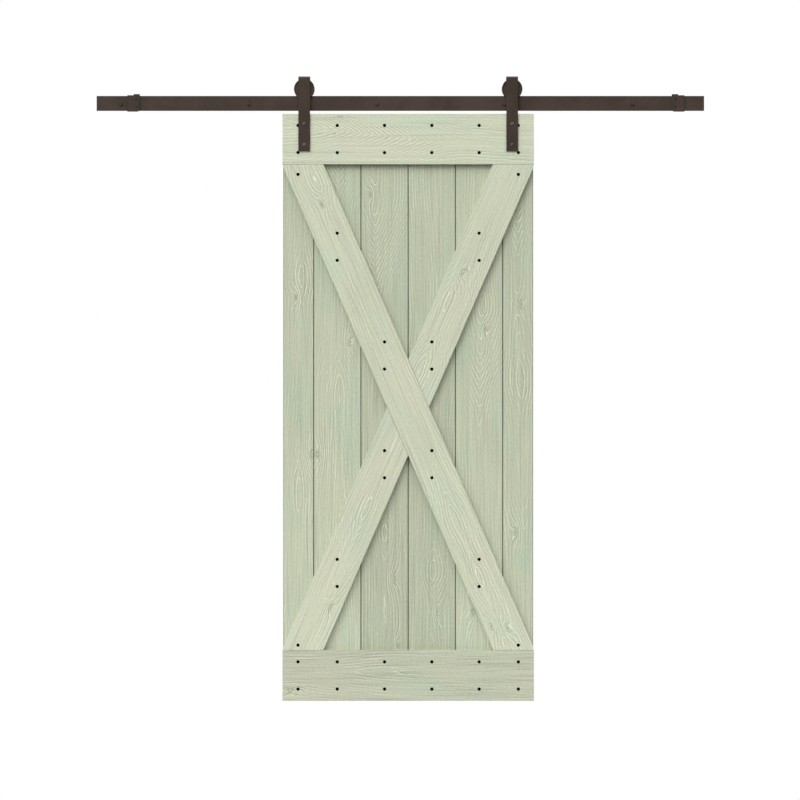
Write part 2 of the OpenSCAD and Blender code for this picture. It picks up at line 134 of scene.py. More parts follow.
def sawCut(where, normal, **keep):       # clear_inner or clear_outer drops one side
    bpy.ops.mesh.select_mode(type="VERT")
    bpy.ops.mesh.select_all(action="SELECT")
    bpy.ops.mesh.bisect(plane_co=where, plane_no=normal, use_fill=bool(keep), **keep)


def applyAll(piece):
    takeOnly(piece)
    for modifier in list(piece.modifiers):
        bpy.ops.object.modifier_apply(modifier=modifier.name)


def ease(piece, width, segments=2, angle=35):
    soften = piece.modifiers.new("ease", "BEVEL")
    soften.width = width
    soften.segments = segments
    soften.limit_method = "ANGLE"
    soften.angle_limit = radians(angle)
    applyAll(piece)


def carve(piece, cutter, operation="DIFFERENCE"):
    boolean = piece.modifiers.new("carve", "BOOLEAN")
    boolean.operation = operation
    boolean.solver = "EXACT"
    boolean.object = cutter
    applyAll(piece)
    bpy.data.objects.remove(cutter, do_unlink=True)


def copyOf(piece, name, matrix=Matrix()):
    double = piece.copy()
    double.data = piece.data.copy()
    double.name = name
    double.data.name = name
    double.data.transform(matrix)
    bpy.context.scene.collection.objects.link(double)
    return double


def joinAll(name, parts):
    takeOnly(parts[0])
    for part in parts:
        part.select_set(True)
    if len(parts) > 1:
        bpy.ops.object.join()
    parts[0].name = name
    parts[0].data.name = name
    return parts[0]


def discard(piece):
    bpy.data.objects.remove(piece, do_unlink=True)


def intoWall(x, y, z):                   # what is drawn along +Z runs along +Y from this point
    return Matrix.Translation((x, y, z)) @ Matrix.Rotation(radians(-90), 4, "X")


def turn(name, outline, sides=64, closed=False):
    # A turned part along +Z: a circle is extruded and resized through (radius, height) points
    radius, height = outline[0]
    bpy.ops.object.select_all(action="DESELECT")
    bpy.ops.mesh.primitive_circle_add(
        vertices=sides, radius=radius, location=(0, 0, height),
        fill_type="NOTHING" if closed else "NGON"
    )
    piece = settle(bpy.context.object, name)
    startEdit(piece)
    for nextRadius, nextHeight in outline[1:] + (outline[:1] if closed else []):
        move = {"value": (0, 0, nextHeight - height)}
        if closed:
            bpy.ops.mesh.extrude_edges_move(TRANSFORM_OT_translate=move)
        else:
            bpy.ops.mesh.extrude_region_move(TRANSFORM_OT_translate=move)
        if abs(nextRadius - radius) > 1e-9:
            share = nextRadius / radius
            bpy.ops.transform.resize(value=(share, share, 1), center_override=(0, 0, nextHeight))
        radius, height = nextRadius, nextHeight
    stopEdit()
    return piece


def boreAt(radius, start, end, x, y, z):  # the path of a drill that goes in at this point
    bore = turn("bore", [(radius, start), (radius, end)], 40)
    bore.data.transform(intoWall(x, y, z))
    return bore


def modelRing(name, outer, inner, length, chamfer, sides=56):
    return turn(name, [
        (outer - chamfer, 0), (outer, chamfer), (outer, length - chamfer), (outer - chamfer, length),
        (inner + chamfer, length), (inner, length - chamfer), (inner, chamfer), (inner + chamfer, 0)
    ], sides, closed=True)


threadShape = {"height": 1.15, "width": 0.42}      # of the thread's depth, and of its pitch
hexShape = {
    "tips": 0.97,                        # the cone's small end, of the hexagon's flats
    "clear": 1.02,                       # its large end, of the hexagon's corners
    "slant": 0.55,
    "slivers": 0.03 * mm,                # edges shorter than this are cleaned away
}


def threadRidge(name, rootRadius, crestRadius, pitch, low, high, steps=16):
    # A three-sided ridge wound up the shank, its foot a little inside the core
    turns = int((high - low) / pitch)
    ridge = (crestRadius - rootRadius) * threadShape["height"]
    triangle = 1.5                       # how high a triangle in a circle of radius 1 is
    bpy.ops.object.select_all(action="DESELECT")
    bpy.ops.mesh.primitive_circle_add(
        vertices=3, radius=1, location=(0, 0, 0), rotation=(pi / 2, pi / 2, 0), fill_type="NOTHING"
    )
    piece = settle(bpy.context.object, name)
    startEdit(piece)
    bpy.ops.transform.resize(
        value=(ridge / triangle, 1, pitch * threadShape["width"]), center_override=(0, 0, 0)
    )
    stopEdit(merge=0)
    reach = max(v.co.x for v in piece.data.vertices)
    piece.data.transform(Matrix.Translation((crestRadius - reach, 0, low + pitch / 2)))
    wind = piece.modifiers.new("wind", "SCREW")
    wind.angle = 2 * pi * turns
    wind.screw_offset = pitch * (turns - 1)
    wind.steps = steps * turns
    wind.render_steps = steps * turns
    wind.use_merge_vertices = False
    applyAll(piece)
    startEdit(piece)
    bpy.ops.mesh.select_all(action="DESELECT")
    bpy.ops.mesh.select_non_manifold(extend=False, use_boundary=True)
    bpy.ops.mesh.fill()
    stopEdit(merge=0)
    return piece


def hexBar(name, acrossFlats, low, high):
    bpy.ops.object.select_all(action="DESELECT")
    bpy.ops.mesh.primitive_cylinder_add(
        vertices=6, radius=acrossFlats / 2 / cos(pi / 6), depth=high - low,
        location=(0, 0, (low + high) / 2), rotation=(0, 0, pi / 6)
    )
    return settle(bpy.context.object, name)


def chamferedHex(name, acrossFlats, low, high, bothEnds=True):
    # A hexagon whose corners are turned down to a cone at its ends
    corner = acrossFlats / 2 / cos(pi / 6)
    tips = acrossFlats / 2 * hexShape["tips"]
    wide = corner * hexShape["clear"]
    drop = (corner - tips) * hexShape["slant"]
    outline = [(tips, low), (wide, low + drop)] if bothEnds else [(wide, low)]
    outline += [(wide, high - drop), (tips, high)]
    piece = hexBar(name, acrossFlats, low, high)
    carve(piece, turn("cone", outline, 48), "INTERSECT")
    startEdit(piece)
    bpy.ops.mesh.remove_doubles(threshold=hexShape["slivers"])
    bpy.ops.mesh.dissolve_limited(angle_limit=radians(1))
    stopEdit()
    return piece


def partBoxes(node):                     # one (low, high) for each separate part in a CAD node
    mesh = bmesh.new()
    mesh.from_mesh(frame["nodes"][node].data)
    bmesh.ops.remove_doubles(mesh, verts=mesh.verts, dist=weld)
    waiting = set(mesh.verts)
    boxes = []
    while waiting:
        group = [waiting.pop()]
        for vert in group:
            for edge in vert.link_edges:
                other = edge.other_vert(vert)
                if other in waiting:
                    waiting.remove(other)
                    group.append(other)
        places = [v.co for v in group]
        low = Vector([min(p[i] for p in places) for i in range(3)])
        high = Vector([max(p[i] for p in places) for i in range(3)])
        boxes.append((low, high))
    mesh.free()
    return sorted(boxes, key=lambda box: (round(box[0].x, 4), box[0].z))


def centres(node):
    return [(low + high) / 2 for low, high in partBoxes(node)]


def handOver(piece, material, slot, *nodes, smooth=40):
    # Finishes a piece: smooth shading, its material, its body, and the CAD nodes that it stands for
    takeOnly(piece)
    bpy.ops.object.shade_smooth_by_angle(angle=radians(smooth))
    flatten = piece.modifiers.new("flatten", "WEIGHTED_NORMAL")   # broad faces stay flat beside a bevel
    flatten.keep_sharp = True
    applyAll(piece)
    piece.data.materials.clear()
    piece.data.materials.append(material)
    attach(piece, frame["nodes"][nodes[0]]["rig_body"])
    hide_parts(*nodes)


def refinish(material, *nodes):          # a CAD node whose shape stays
    for node in nodes:
        data = frame["nodes"][node].data
        data.materials.clear()
        data.materials.append(material)


# Shader maths

def addNode(tree, kind, settings, sockets, output=0):
    made = tree.nodes.new(kind)
    for key, value in settings.items():
        setattr(made, key, value)
    for key, value in sockets.items():
        if isinstance(value, Wire):
            tree.links.new(value.socket, made.inputs[key])
        else:
            made.inputs[key].default_value = value
    return Wire(tree, made.outputs[output]) if made.outputs else None


class Wire:                              # a socket that Python's operators work on

    def __init__(self, tree, socket):
        self.tree = tree
        self.socket = socket

    def maths(self, operation, *values):
        return addNode(self.tree, "ShaderNodeMath", {"operation": operation}, dict(enumerate(values)))

    def __add__(self, other):
        return self.maths("ADD", self, other)

    def __radd__(self, other):
        return self.maths("ADD", other, self)

    def __sub__(self, other):
        return self.maths("SUBTRACT", self, other)

    def __rsub__(self, other):
        return self.maths("SUBTRACT", other, self)

    def __mul__(self, other):
        return self.maths("MULTIPLY", self, other)

    def __rmul__(self, other):
        return self.maths("MULTIPLY", other, self)

    def __truediv__(self, other):
        return self.maths("DIVIDE", self, other)

    def __pow__(self, other):
        return self.maths("POWER", self, other)


def squareRoot(value):
    return value.maths("SQRT", value)


def exponent(value):
    return value.maths("EXPONENT", value)


def bellCurve(value):                    # 1 at zero, falling to nothing by about 2 on both sides
    return exponent(value * value * -1.0)


def foldBack(value):                     # runs 0, 1, 0 over each whole step
    return 2 * value.maths("PINGPONG", value, 0.5)


def smoothStep(value, low, high, first=0.0, last=1.0):
    sockets = {"Value": value, "From Min": low, "From Max": high, "To Min": first, "To Max": last}
    return addNode(value.tree, "ShaderNodeMapRange", {"interpolation_type": "SMOOTHSTEP"}, sockets)


def mixColours(share, first, second):
    return addNode(share.tree, "ShaderNodeMix", {"data_type": "RGBA"}, {0: share, 6: first, 7: second}, 2)


def shaded(paint, value):                # a colour times a value
    tone = addNode(paint.tree, "ShaderNodeCombineXYZ", {}, {0: value, 1: value, 2: value})
    return addNode(paint.tree, "ShaderNodeVectorMath", {"operation": "MULTIPLY"}, {0: paint, 1: tone})


def noise(tree, x, y, z, detail=2.0, roughness=0.5):
    place = addNode(tree, "ShaderNodeCombineXYZ", {}, {0: x, 1: y, 2: z})
    sockets = {"Vector": place, "Scale": 1.0, "Detail": detail, "Roughness": roughness}
    return addNode(tree, "ShaderNodeTexNoise", {}, sockets)


def newMaterial(name):
    material = bpy.data.materials.new(name)
    material.use_nodes = True
    tree = material.node_tree
    tree.nodes.clear()
    place = addNode(tree, "ShaderNodeTexCoord", {}, {}, 3)
    axes = [addNode(tree, "ShaderNodeSeparateXYZ", {}, {0: place}, i) for i in range(3)]
    return material, tree, axes


def finishMaterial(tree, height, depth, **values):
    # The shader itself: plain numbers stay on its sockets, wires are linked
    sockets = {key.replace("_", " "): value for key, value in values.items()}
    normal = addNode(tree, "ShaderNodeBump", {}, {"Height": height, "Distance": depth, "Strength": 1.0})
    sockets["Normal"] = normal
    shader = addNode(tree, "ShaderNodeBsdfPrincipled", {}, sockets)
    addNode(tree, "ShaderNodeOutputMaterial", {}, {"Surface": shader})


def colour(red, green, blue):
    return (red, green, blue, 1.0)


# Painted pine: the growth rings of a log, cut by the board's face and seen through the paint

pinePaint = {
    "boards": colour(0.548, 0.575, 0.436),
    "planks": colour(0.474, 0.513, 0.379),
    "warm": colour(1.04, 1.00, 1.02),         # tints of the paint: here it leans to tan
    "cool": colour(0.95, 1.00, 1.02),         # and here to blue-green
    "ridge": colour(0.840, 0.850, 0.680),     # raised late wood: worn paint and a painted highlight on the ridge
    "shadedFurrow": colour(0.235, 0.280, 0.175),    # beside it on one side, a painted shadow of the raised ridge
    "knot": colour(0.300, 0.320, 0.215),
    "knotShare": 0.55,
    "ridgeWearAndHighlightShare": 0.80,
    "furrowShadeShare": 0.64,
    "plainFurrowShade": 0.10,                      # the share of that painted shadow where the figure is faint
    "joint": 0.36,                            # painted shade in the joints: how dark the edges of the planks are painted
    "edge": 0.86,                             # and the painted shade over the bevels of the boards in front
    "rim": (0.8, 1.5),                        # in bevels from the side, where that painted shade ends
    "roughness": 0.56,
    "brushRoughness": 0.25,
    "furrowRoughness": 0.08,
    "gloss": 0.3,
}
pineRelief = {"depth": 0.7 * mm, "figure": 0.6, "shadedFurrow": 0.6, "fibre": 0.2, "brush": 0.2}
pineShade = {"fibre": 0.30, "brush": 0.36, "speck": 0.34, "scratch": 0.12, "fine": 0.05}
# Each noise: its steps per metre along and across the board, its shift, detail and roughness
pineGrain = {
    "sway": (1.6, 5.0, 3.1, 2.0, 0.5),
    "waver": (9.0, 42.0, 5.7, 3.0, 0.5),
    "depth": (1.25, 0.6, 11.9, 2.0, 0.5),
    "flow": (2.5, 12.0, 23.9, 2.0, 0.5),
    "jitter": (14.0, 90.0, 17.3, 3.0, 0.5),
    "figure": (3.0, 14.0, 31.7, 3.0, 0.5),
    "fibre": (6.0, 330.0, 37.1, 3.0, 0.65),
    "brush": (2.2, 125.0, 41.3, 2.0, 0.6),
    "scratch": (3.2, 190.0, 59.3, 1.0, 0.5),
    "speck": (95.0, 210.0, 47.9, 2.0, 0.6),
    "cloud": (2.2, 5.5, 43.7, 3.0, 0.55),
    "veil": (4.0, 9.0, 53.1, 3.0, 0.55),
}
pineFades = {                                 # where each comes up: from, to and the strengths there
    "figure": (0.46, 0.64, 0.10, 0.46),
    "knot": (0.55, 0.80),
    "scratch": (0.55, 0.68),
    "cloud": (0.46, 0.66),
    "veil": (0.48, 0.68),
}
pineRings = {
    "width": 9.0 * mm,                        # of one year's growth
    "tip": 7 * mm,                            # how round the rings' tips are
    "flare": 0.85,                            # how fast they spread beside the tip
    "ridge": 1.35 * mm,
    "shadedFurrow": 1.5 * mm,
    "furrowShift": 2.3 * mm,
    "wander": 26 * mm,                        # how far the rings stray to one side, slowly
    "waver": 4 * mm,                          # and in short waves
    "flow": 1.4,                              # what slow and quick noise adds, in rings
    "jitter": 0.60,
    "leastPace": 0.2,                         # keeps lines from growing wide where rings lie flat
    "crownHalf": 27 * mm,                     # how far off its axis a crown shows
    "crownShare": 0.9,
    "most": 1.15,                             # the figure's greatest strength
    "knotRings": 3.4,
    "knotStretch": 2.4,                       # knots are this much longer than wide
    "knotBlunt": 0.01,                        # rounds a knot's centre
}
seedStep = 7.31                               # keeps the boards' noises apart


def pineMaterial(name, look, layer, centre, alongAxis, halfWidth):
    material, tree, (x, y, z) = newMaterial(name)
    alongX, alongZ = alongAxis
    seed = look["seed"] * seedStep
    along = (x - centre.x) * alongX + (z - centre.z) * alongZ
    across = (x - centre.x) * alongZ - (z - centre.z) * alongX
    inward = y - layer["front"]
    rings = pineRings

    def grain(kind):
        perAlong, perAcross, shift, detail, roughness = pineGrain[kind]
        return noise(
            tree, along * perAlong + (seed + shift), across * perAcross + shift,
            inward * perAcross, detail, roughness
        )

    sway = (grain("sway") - 0.5) * rings["wander"] + (grain("waver") - 0.5) * rings["waver"]
    depth = (grain("depth") - 0.5) * (2 * look["wave"]) + look["depth"]
    for start, end, rise in look["ramps"]:
        depth = depth + smoothStep(along, start, end, 0.0, rise)
    side = across - along * look["drift"] - look["pith"] + sway
    figure = smoothStep(grain("figure"), *pineFades["figure"])
    for place, spread, rise in look["crowns"]:
        crown = bellCurve((along - place) / spread)
        figure = figure + crown * bellCurve(side / rings["crownHalf"]) * rings["crownShare"]
        depth = depth + crown * rise
    below = inward + rings["tip"]
    flank = squareRoot(side * side + below * below)
    ring = (flank * rings["flare"] + depth) / rings["width"]
    slopeAcross = side / flank * rings["flare"]   # rings that the face crosses in a ring's width
    slopeAlong = 0
    knots = 0
    for place, offAxis, size in look["knots"]:
        down = (along - place) / (size * rings["knotStretch"])
        over = (across - offAxis) / size
        away = squareRoot(down * down + over * over + rings["knotBlunt"])
        near = exponent(away * -1.0)
        figure = figure + near
        ring = ring + near * rings["knotRings"]
        pull = near / away * (rings["knotRings"] * rings["width"] / size)
        slopeAcross = slopeAcross - pull * over
        slopeAlong = slopeAlong + pull * down / rings["knotStretch"]
        knots = smoothStep(near, *pineFades["knot"]) + knots
    ring = ring + (grain("jitter") - 0.5) * rings["jitter"]
    ring = ring + (grain("flow") - 0.5) * rings["flow"]
    leastSlope = rings["leastPace"] ** 2
    pace = squareRoot(slopeAcross * slopeAcross + slopeAlong * slopeAlong + leastSlope)

    def line(phase, width):              # a line of one width where the phase is whole and a half
        return bellCurve((1 - foldBack(phase)) / (pace * (2 * width / rings["width"])))

    ridge = line(ring, rings["ridge"])
    shadedFurrow = line(ring + pace * (rings["furrowShift"] / rings["width"]), rings["shadedFurrow"])
    fine = foldBack(ring * 3.0) ** 2.0
    strength = figure.maths("MINIMUM", figure, rings["most"])
    fibre, brush, speck = grain("fibre"), grain("brush"), grain("speck")
    scratch = smoothStep(grain("scratch"), *pineFades["scratch"])
    cloud = smoothStep(grain("cloud"), *pineFades["cloud"])
    veil = smoothStep(grain("veil"), *pineFades["veil"])

    warm = [base * tint for base, tint in zip(layer["base"], pinePaint["warm"])]
    cool = [base * tint for base, tint in zip(layer["base"], pinePaint["cool"])]
    furrowShadeShare = strength * pinePaint["furrowShadeShare"] + pinePaint["plainFurrowShade"]
    paint = mixColours(cloud, layer["base"], warm)
    paint = mixColours(veil, paint, cool)
    # a painted shadow beside each raised ridge, then worn paint and a painted highlight on the ridge
    paint = mixColours(shadedFurrow * furrowShadeShare, paint, pinePaint["shadedFurrow"])
    paint = mixColours(ridge * strength * pinePaint["ridgeWearAndHighlightShare"], paint, pinePaint["ridge"])
    shade = (fibre - 0.5) * pineShade["fibre"] + (brush - 0.5) * pineShade["brush"]
    shade = shade + (speck - 0.5) * pineShade["speck"] - scratch * pineShade["scratch"]
    # painted shade: each board's set brightness and its change up the board
    shade = shade + (fine - 0.5) * strength * pineShade["fine"] + (along * look["paintedShadeSlope"] + look["shade"])
    # painted shade: the colour darkens over the bevels along the board's long edges
    rim = halfWidth - across.maths("ABSOLUTE", across)
    rimStart, rimEnd = (layer["bevel"] * share for share in pinePaint["rim"])
    paint = shaded(paint, shade * smoothStep(rim, rimStart, rimEnd, layer["edge"], 1.0))
    if look["knots"]:
        paint = mixColours(knots * pinePaint["knotShare"], paint, pinePaint["knot"])
    height = (ridge - shadedFurrow * pineRelief["shadedFurrow"]) * strength * pineRelief["figure"]
    height = height + fibre * pineRelief["fibre"] + brush * pineRelief["brush"]
    rough = pinePaint["roughness"] + (brush - 0.5) * pinePaint["brushRoughness"]
    rough = rough + shadedFurrow * strength * pinePaint["furrowRoughness"]
    finishMaterial(
        tree, height, pineRelief["depth"],
        Base_Color=paint, Roughness=rough, Specular_IOR_Level=pinePaint["gloss"]
    )
    return material


# How many steps per metre each noise in coat and plate has
metalGrain = {"peel": 620, "cloud": 9, "speck": 2600, "drawn": 900, "drawnAlong": 60, "stain": 70}


def coatMaterial(name, look):
    # Powder coat: fine orange peel, soft clouds and a slight change of gloss
    material, tree, (x, y, z) = newMaterial(name)
    fine, coarse, tiny = metalGrain["peel"], metalGrain["cloud"], metalGrain["speck"]
    peel = noise(tree, x * fine, y * fine, z * fine, 3.0, 0.55)
    cloud = noise(tree, x * coarse, y * coarse, z * coarse, 3.0, 0.6)
    speck = noise(tree, x * tiny, y * tiny, z * tiny, 1.0)
    paint = mixColours(smoothStep(cloud, 0.35, 0.68), look["dark"], look["light"])
    paint = mixColours(smoothStep(speck, 0.62, 0.80, 0.0, 0.5), paint, look["fleck"])
    rough = look["roughness"] + (cloud - 0.5) * 0.16 + (peel - 0.5) * 0.10
    finishMaterial(
        tree, peel, look["peel"], Base_Color=paint, Roughness=rough, Specular_IOR_Level=look["gloss"]
    )
    return material


def steelMaterial(name, look):
    # Zinc plate over turned or drawn steel
    material, tree, (x, y, z) = newMaterial(name)
    fine, slow, coarse = metalGrain["drawn"], metalGrain["drawnAlong"], metalGrain["stain"]
    drawn = noise(tree, x * fine, y * slow, z * fine, 3.0, 0.6)
    cloud = noise(tree, x * coarse, y * coarse, z * coarse, 3.0, 0.6)
    paint = mixColours(smoothStep(cloud, 0.35, 0.70), look["dark"], look["light"])
    rough = look["roughness"] + (drawn - 0.5) * 0.25 + (cloud - 0.5) * 0.15
    finishMaterial(tree, drawn, 0.02 * mm, Base_Color=paint, Roughness=rough, Metallic=1.0)
    return material


def rubberMaterial(name, look):
    material, tree, (x, y, z) = newMaterial(name)
    grainy = noise(tree, x * 1400, y * 1400, z * 1400, 3.0, 0.6)
    bloom = noise(tree, x * 45, y * 45, z * 45, 3.0, 0.6)
    paint = mixColours(smoothStep(bloom, 0.40, 0.72), look["dark"], look["light"])
    rough = 0.78 + (grainy - 0.5) * 0.2
    finishMaterial(tree, grainy, 0.05 * mm, Base_Color=paint, Roughness=rough)
    return material


bronzeCoat = {
    "dark": colour(0.042, 0.0275, 0.0190),
    "light": colour(0.055, 0.0375, 0.0275),
    "fleck": colour(0.110, 0.080, 0.060),
    "roughness": 0.52,
    "gloss": 0.22,
    "peel": 0.05 * mm,
}
strapCoat = {                            # the hangers' coat: the same bronze, a shade darker
    "dark": colour(0.036, 0.0235, 0.0165),
    "light": colour(0.046, 0.0315, 0.0232),
    "fleck": colour(0.100, 0.072, 0.054),
    "roughness": 0.52,
    "gloss": 0.20,
    "peel": 0.05 * mm,
}
blackCoat = {
    "dark": colour(0.0010, 0.0010, 0.0010),
    "light": colour(0.0022, 0.0022, 0.0022),
    "fleck": colour(0.006, 0.006, 0.006),
    "roughness": 0.62,
    "gloss": 0.05,
    "peel": 0.03 * mm,
}
paintedHighlightCoat = {                           # bolt heads: a lighter coat that paints the highlight the domed heads catch
    "dark": colour(0.066, 0.048, 0.037),
    "light": colour(0.120, 0.093, 0.074),
    "fleck": colour(0.180, 0.145, 0.120),
    "roughness": 0.42,
    "gloss": 0.40,
    "peel": 0.04 * mm,
}
zincPlate = {"dark": colour(0.44, 0.44, 0.43), "light": colour(0.66, 0.66, 0.64), "roughness": 0.34}
ballSteel = {"dark": colour(0.60, 0.60, 0.60), "light": colour(0.74, 0.74, 0.74), "roughness": 0.20}
rubberMix = {"dark": colour(0.014, 0.013, 0.012), "light": colour(0.028, 0.026, 0.024)}

bronze = coatMaterial("bronzePowderCoat", bronzeCoat)
strapBronze = coatMaterial("strapPowderCoat", strapCoat)
paintedHighlightBronze = coatMaterial("paintedHighlightPowderCoat", paintedHighlightCoat)
black = coatMaterial("blackPhosphate", blackCoat)
zinc = steelMaterial("zincPlate", zincPlate)
bearingSteel = steelMaterial("bearingSteel", ballSteel)
rubber = rubberMaterial("stopRubber", rubberMix)
print("materials ready")


# Wood screws

screwSize = {
    "headRadius": 6 * mm,
    "shankRadius": 2.4 * mm,
    "rootRadius": 1.9 * mm,
    "rim": 0.6 * mm,
    "length": 33 * mm,
    "tip": 6 * mm,
    "pitch": 2.6 * mm,
    "smoothShank": 6 * mm,
    "runOut": 0.5 * mm,                  # from the smooth shank to the thread's root
    "crossLength": 5.3 * mm,
    "crossWidth": 1.2 * mm,
    "crossDepth": 2.2 * mm,
    "sink": 0.3 * mm,                    # how far the head lies below the wood
    "clearance": 0.15 * mm,
}
screwNodes = {
    "topBoardScrews": "top_rail_screws",
    "bottomBoardScrews": "bottom_rail_screws",
    "longBraceScrews": "long_brace_screws",
    "upperBraceScrews": "upper_brace_screws",
    "lowerBraceScrews": "lower_brace_screws",
}
screwPlaces = {node: centres(node) for node in screwNodes.values()}


def modelScrew():
    s = screwSize
    neck = s["rim"] + s["headRadius"] - s["shankRadius"]
    threadStart = neck + s["smoothShank"] + s["runOut"]
    edge = 0.15 * mm
    outline = [
        (s["headRadius"] - edge, 0), (s["headRadius"], edge), (s["headRadius"], s["rim"]),
        (s["shankRadius"], neck), (s["shankRadius"], neck + s["smoothShank"]),
        (s["rootRadius"], threadStart), (s["rootRadius"], s["length"] - s["tip"]), (0.2 * mm, s["length"])
    ]
    screw = turn("screw", outline, 32)
    for angle in (0, pi / 2):
        bar = addBox(
            "bar", (-s["crossLength"] / 2, -s["crossWidth"] / 2, -mm),
            (s["crossLength"] / 2, s["crossWidth"] / 2, s["crossDepth"])
        )
        startEdit(bar)
        pick(bar, "FACE", lambda face: face.normal.z > 0.9)
        bpy.ops.transform.resize(value=(0.55, 0.8, 1), center_override=(0, 0, s["crossDepth"]))
        stopEdit()
        bar.data.transform(Matrix.Rotation(angle, 4, "Z"))
        carve(screw, bar)
    thread = threadRidge(
        "thread", s["rootRadius"], s["shankRadius"], s["pitch"], threadStart, s["length"] - s["tip"], 12
    )
    return joinAll("screw", [screw, thread])


screw = modelScrew()
for name, node in screwNodes.items():
    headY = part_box(node)[0].y
    copies = []
    for i, place in enumerate(screwPlaces[node]):
        copies.append(copyOf(screw, name + str(i), intoWall(place.x, headY, place.z)))
    handOver(joinAll(name, copies), black, "black_screws", node)
discard(screw)
print("wood screws done")


# The door's boards

boardSize = {
    "bevel": 1.5 * mm,                   # front edges of the rail boards and braces
    "ease": 0.35 * mm,                   # every other edge, softened by sanding and paint
    "braceWidth": 140 * mm,
    "braceToe": 13 * mm,
    "seatGap": 0.3 * mm,
    "buttGap": 0.5 * mm,
}
plankSize = {
    "bevel": 1.8 * mm,
    "tongueLength": 6 * mm,
    "tongueThickness": 5.5 * mm,
    "clearance": 0.4 * mm,
    "gap": 0.4 * mm,
}
boltHoleRadius = 4.25 * mm

topLow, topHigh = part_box("top_rail_board")
longLow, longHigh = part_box("long_brace")
doorX = (topLow.x + topHigh.x) / 2
doorFront = topLow.y
plankFront = topHigh.y
fieldMid = (longLow.z + longHigh.z) / 2
hangerBolts = centres("left_hanger_bolts") + centres("right_hanger_bolts")


def modelHoleCutter():
    s = screwSize
    head = s["headRadius"] + s["clearance"]
    shank = s["shankRadius"] + s["clearance"]
    seat = s["sink"] + s["rim"] + s["clearance"]
    mouth = 0.3 * mm
    return turn("holeCutter", [
        (head + mouth + mm, -mm), (head + mouth, 0), (head, mouth), (head, seat),
        (shank, seat + head - shank), (shank, s["length"] + mm)
    ], 32)


holeCutter = modelHoleCutter()


def drill(piece, low, high, places, boltsToo):
    cutters = []
    for place in places:
        if low.x < place.x < high.x:
            cutters.append(copyOf(holeCutter, "cutter", intoWall(place.x, doorFront, place.z)))
    for bolt in hangerBolts:
        if boltsToo and low.x < bolt.x < high.x:
            cutters.append(boreAt(boltHoleRadius, -0.02, 0.06, bolt.x, doorFront, bolt.z))
    if cutters:
        carve(piece, joinAll("cutters", cutters))
